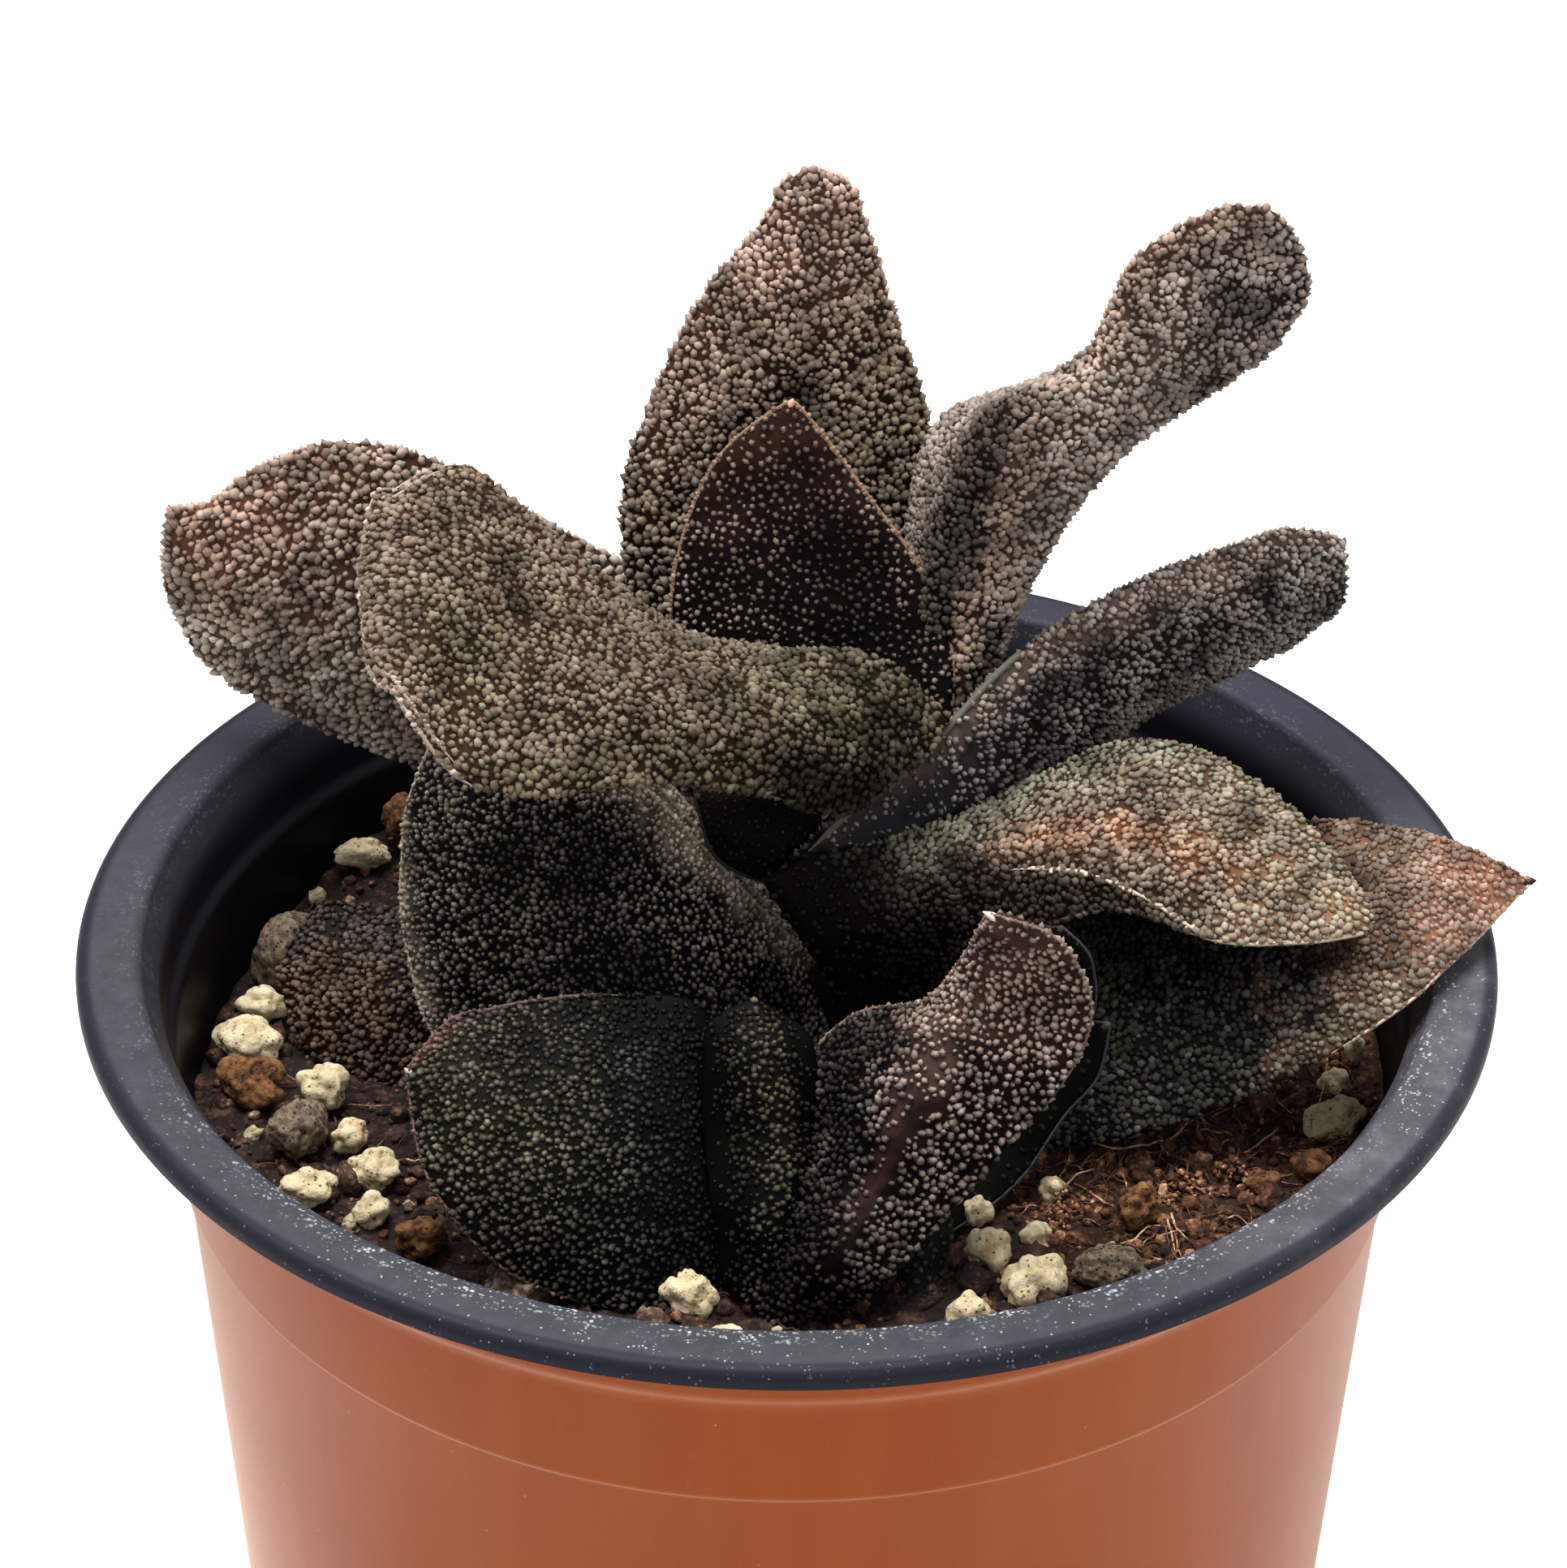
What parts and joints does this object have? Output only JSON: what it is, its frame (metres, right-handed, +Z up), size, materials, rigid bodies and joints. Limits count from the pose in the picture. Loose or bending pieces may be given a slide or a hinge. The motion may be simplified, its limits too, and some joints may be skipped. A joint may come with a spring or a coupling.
{
  "type": "potted gasteria",
  "caption": "Small rosette succulent with thick warty tongue-shaped leaves and a young offset, planted in a round two-colour plastic nursery pot.",
  "frame": {"origin": "centre of the pot's flat underside", "axes": "+Z up along the pot's axis, -Y towards the side that the offset grows on, +X to the right seen from there"},
  "size_m": [0.107, 0.105, 0.1409],
  "materials": {
    "pot_outside": "terracotta-coloured thin plastic, satin",
    "pot_lining": "black thin plastic, matt and dusty",
    "soil": "peaty potting soil with fibres and grit",
    "pumice": "cream porous pumice",
    "lava": "rusty brown lava grit and bark",
    "ash_stone": "dark grey porous grit",
    "stem": "fleshy stem",
    "leaf": "dark fleshy leaf densely set with pale warts",
    "offset_leaf": "dark green fleshy leaf with separate pale warts"
  },
  "bodies": {
    "root": {"ash_stone_01": "ash_stone", "ash_stone_06": "ash_stone", "ash_stone_14": "ash_stone", "ash_stone_24": "ash_stone", "lava_04": "lava", "lava_12": "lava", "lava_13": "lava", "lava_25": "lava", "lava_26": "lava", "lava_27": "lava", "leaf_a": "leaf", "leaf_b": "leaf", "leaf_c": "leaf", "leaf_d": "leaf", "leaf_e": "leaf", "leaf_f": "leaf", "leaf_g": "leaf", "leaf_h": "leaf", "leaf_i": "leaf", "leaf_o": "leaf", "leaf_p": "leaf", "leaf_q": "leaf", "offset_leaf_j": "offset_leaf", "offset_leaf_k": "offset_leaf", "offset_leaf_l": "offset_leaf", "offset_leaf_m": "offset_leaf", "offset_leaf_n": "offset_leaf", "offset_leaf_r": "offset_leaf", "offset_stem": "stem", "pot": "pot_outside", "pumice_02": "pumice", "pumice_03": "pumice", "pumice_05": "pumice", "pumice_07": "pumice", "pumice_08": "pumice", "pumice_09": "pumice", "pumice_10": "pumice", "pumice_11": "pumice", "pumice_15": "pumice", "pumice_16": "pumice", "pumice_17": "pumice", "pumice_18": "pumice", "pumice_19": "pumice", "pumice_20": "pumice", "pumice_21": "pumice", "pumice_22": "pumice", "pumice_23": "pumice", "pumice_28": "pumice", "pumice_29": "pumice", "pumice_30": "pumice", "soil": "soil", "stem": "stem"}
  },
  "joints": []
}
